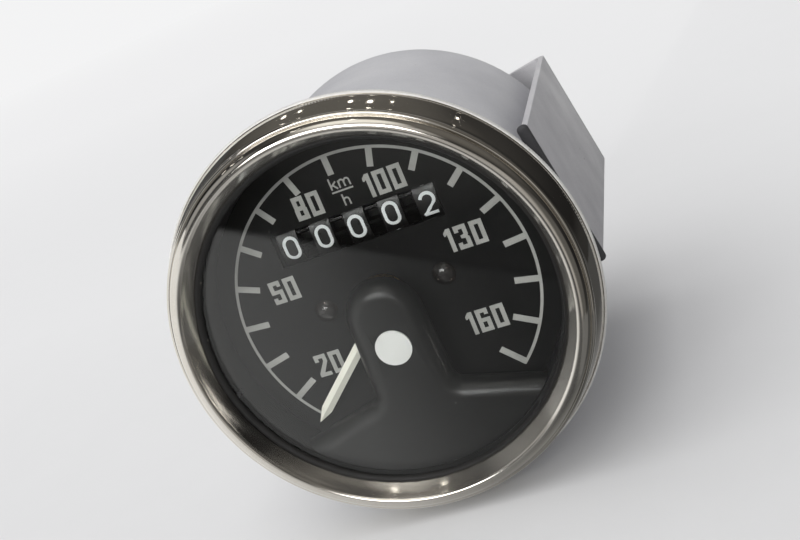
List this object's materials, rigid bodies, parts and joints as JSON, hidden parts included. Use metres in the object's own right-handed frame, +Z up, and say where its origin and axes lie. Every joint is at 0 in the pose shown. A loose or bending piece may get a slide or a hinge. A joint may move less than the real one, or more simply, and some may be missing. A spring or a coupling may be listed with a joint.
{
  "type": "speedometer",
  "caption": "Round panel speedometer with a chromed bezel, black dial, cream pointer, figure-wheel distance counter, magnetic drag-cup movement and a U clamp on studs.",
  "frame": {"origin": "On the gauge axis, in the plane where the rear of the bezel seats on the panel", "axes": "The dial faces -Y, +X is to its right as the driver sees it, +Z is up"},
  "size_m": [0.086, 0.0971, 0.086],
  "materials": {
    "can_paint": "satin silver-grey enamel",
    "bezel_chrome": "bright nickel-chrome plate",
    "lens_glass": "clear flat glass",
    "gasket_rubber": "matt black rubber",
    "ring_black": "satin black paint",
    "dial_black": "matt black paint",
    "screw_black": "blackened steel",
    "mask_black": "matt black moulding",
    "disc_white": "plain white enamel",
    "pointer_cream": "cream-white moulding",
    "bush_brass": "turned brass",
    "shaft_steel": "ground steel",
    "cup_aluminium": "spun aluminium",
    "spring_bronze": "phosphor bronze strip",
    "casting_zinc": "plain die casting",
    "screw_zinc": "zinc-plated steel",
    "collar_zinc": "zinc-plated turned steel",
    "magnet_dark": "dark magnet alloy",
    "iron_dark": "soft iron",
    "frame_steel": "plated sheet steel",
    "bulb_glass": "clear bulb glass",
    "clamp_grey": "satin grey enamel",
    "pad_rubber": "black rubber channel",
    "wheel_black": "black moulding with white figures",
    "pinion_white": "plain moulding"
  },
  "bodies": {
    "case": {"can": "can_paint", "bezel": "bezel_chrome", "lens": "lens_glass", "lens_gasket": "gasket_rubber", "inner_ring": "ring_black", "dial_plate": "dial_black", "dial_screws": "screw_black", "pointer_mask": "mask_black", "mask_disc": "disc_white", "hairspring": "spring_bronze", "front_plate": "casting_zinc", "front_plate_screws": "screw_zinc", "pivot_bush": "bush_brass", "rear_plate": "casting_zinc", "rear_plate_screws": "screw_zinc", "drive_collar": "collar_zinc", "spindle_bush": "bush_brass", "counter_frame": "frame_steel", "counter_axle": "shaft_steel", "pinion_shaft": "shaft_steel", "lamp_holder": "screw_zinc", "lamp_bulb": "bulb_glass", "clamp_studs": "screw_zinc"},
    "pointer_group": {"pointer": "pointer_cream", "pointer_boss": "bush_brass", "pointer_arbor": "shaft_steel", "drag_cup": "cup_aluminium"},
    "drive": {"input_spindle": "shaft_steel", "drive_magnet": "magnet_dark", "return_cup": "iron_dark"},
    "cross": {"cross_shaft": "shaft_steel", "cross_wheel": "bush_brass"},
    "lay": {"lay_shaft": "shaft_steel", "lay_wheel": "bush_brass"},
    "figure_5": {"figure_wheel_5": "wheel_black", "counter_gear": "bush_brass"},
    "figure_4": {"figure_wheel_4": "wheel_black"},
    "figure_3": {"figure_wheel_3": "wheel_black"},
    "figure_2": {"figure_wheel_2": "wheel_black"},
    "figure_1": {"figure_wheel_1": "wheel_black"},
    "pinion_4": {"transfer_pinion_4": "pinion_white"},
    "pinion_3": {"transfer_pinion_3": "pinion_white"},
    "pinion_2": {"transfer_pinion_2": "pinion_white"},
    "pinion_1": {"transfer_pinion_1": "pinion_white"},
    "clamp": {"clamp_bracket": "clamp_grey", "clamp_pads": "pad_rubber", "spring_washers": "screw_zinc"},
    "nut_1": {"stud_nut_1": "screw_zinc"},
    "nut_2": {"stud_nut_2": "screw_zinc"}
  },
  "joints": [
    {"name": "pointer_sweep", "type": "hinge", "parent": "case", "child": "pointer_group", "pos_m": [0, 0, 0], "axis": [0, 1, 0], "range_deg": [0, 268], "stiffness_Nm_per_rad": 0.00002, "deforming": ["hairspring"]},
    {"name": "drive_spin", "type": "hinge", "parent": "case", "child": "drive", "pos_m": [0, 0, 0], "axis": [0, 1, 0], "continuous": true},
    {"name": "cross_spin", "type": "hinge", "parent": "case", "child": "cross", "pos_m": [0, 0.04555, -0.009], "axis": [1, 0, 0], "continuous": true},
    {"name": "lay_spin", "type": "hinge", "parent": "case", "child": "lay", "pos_m": [0.0218, 0.04555, 0.003], "axis": [0, 1, 0], "continuous": true},
    {"name": "figure_5_spin", "type": "hinge", "parent": "case", "child": "figure_5", "pos_m": [0, 0.01715, 0.015], "axis": [1, 0, 0], "continuous": true},
    {"name": "figure_4_spin", "type": "hinge", "parent": "case", "child": "figure_4", "pos_m": [0, 0.01715, 0.015], "axis": [1, 0, 0], "continuous": true},
    {"name": "figure_3_spin", "type": "hinge", "parent": "case", "child": "figure_3", "pos_m": [0, 0.01715, 0.015], "axis": [1, 0, 0], "continuous": true},
    {"name": "figure_2_spin", "type": "hinge", "parent": "case", "child": "figure_2", "pos_m": [0, 0.01715, 0.015], "axis": [1, 0, 0], "continuous": true},
    {"name": "figure_1_spin", "type": "hinge", "parent": "case", "child": "figure_1", "pos_m": [0, 0.01715, 0.015], "axis": [1, 0, 0], "continuous": true},
    {"name": "pinion_4_spin", "type": "hinge", "parent": "case", "child": "pinion_4", "pos_m": [0, 0.02833, 0.01907], "axis": [1, 0, 0], "continuous": true},
    {"name": "pinion_3_spin", "type": "hinge", "parent": "case", "child": "pinion_3", "pos_m": [0, 0.02833, 0.01907], "axis": [1, 0, 0], "continuous": true},
    {"name": "pinion_2_spin", "type": "hinge", "parent": "case", "child": "pinion_2", "pos_m": [0, 0.02833, 0.01907], "axis": [1, 0, 0], "continuous": true},
    {"name": "pinion_1_spin", "type": "hinge", "parent": "case", "child": "pinion_1", "pos_m": [0, 0.02833, 0.01907], "axis": [1, 0, 0], "continuous": true},
    {"name": "clamp_slide", "type": "slide", "parent": "case", "child": "clamp", "axis": [0, 1, 0], "range_m": [-0.008, 0]},
    {"name": "nut_1_turn", "type": "hinge", "parent": "clamp", "child": "nut_1", "pos_m": [-0.02361, 0.0795, -0.00429], "axis": [0, 1, 0], "range_deg": [-3600, 0]},
    {"name": "nut_2_turn", "type": "hinge", "parent": "clamp", "child": "nut_2", "pos_m": [0.02361, 0.0795, 0.00429], "axis": [0, 1, 0], "range_deg": [-3600, 0]}
  ],
  "couplings": [
    {"joint": "cross_spin", "follows": "drive_spin", "ratio": 0.05},
    {"joint": "lay_spin", "follows": "drive_spin", "ratio": 0.0025},
    {"joint": "figure_5_spin", "follows": "drive_spin", "ratio": -0.0001},
    {"joint": "figure_4_spin", "follows": "drive_spin", "ratio": -0.00001},
    {"joint": "figure_3_spin", "follows": "drive_spin", "ratio": -0.000001},
    {"joint": "figure_2_spin", "follows": "drive_spin", "ratio": -0.0000001},
    {"joint": "figure_1_spin", "follows": "drive_spin", "ratio": -0.00000001},
    {"joint": "pinion_4_spin", "follows": "drive_spin", "ratio": 0.000025},
    {"joint": "pinion_3_spin", "follows": "drive_spin", "ratio": 0.0000025},
    {"joint": "pinion_2_spin", "follows": "drive_spin", "ratio": 0.00000025},
    {"joint": "pinion_1_spin", "follows": "drive_spin", "ratio": 0.000000025},
    {"joint": "nut_1_turn", "follows": "clamp_slide", "rad_per_m": 7854},
    {"joint": "nut_2_turn", "follows": "clamp_slide", "rad_per_m": 7854}
  ]
}
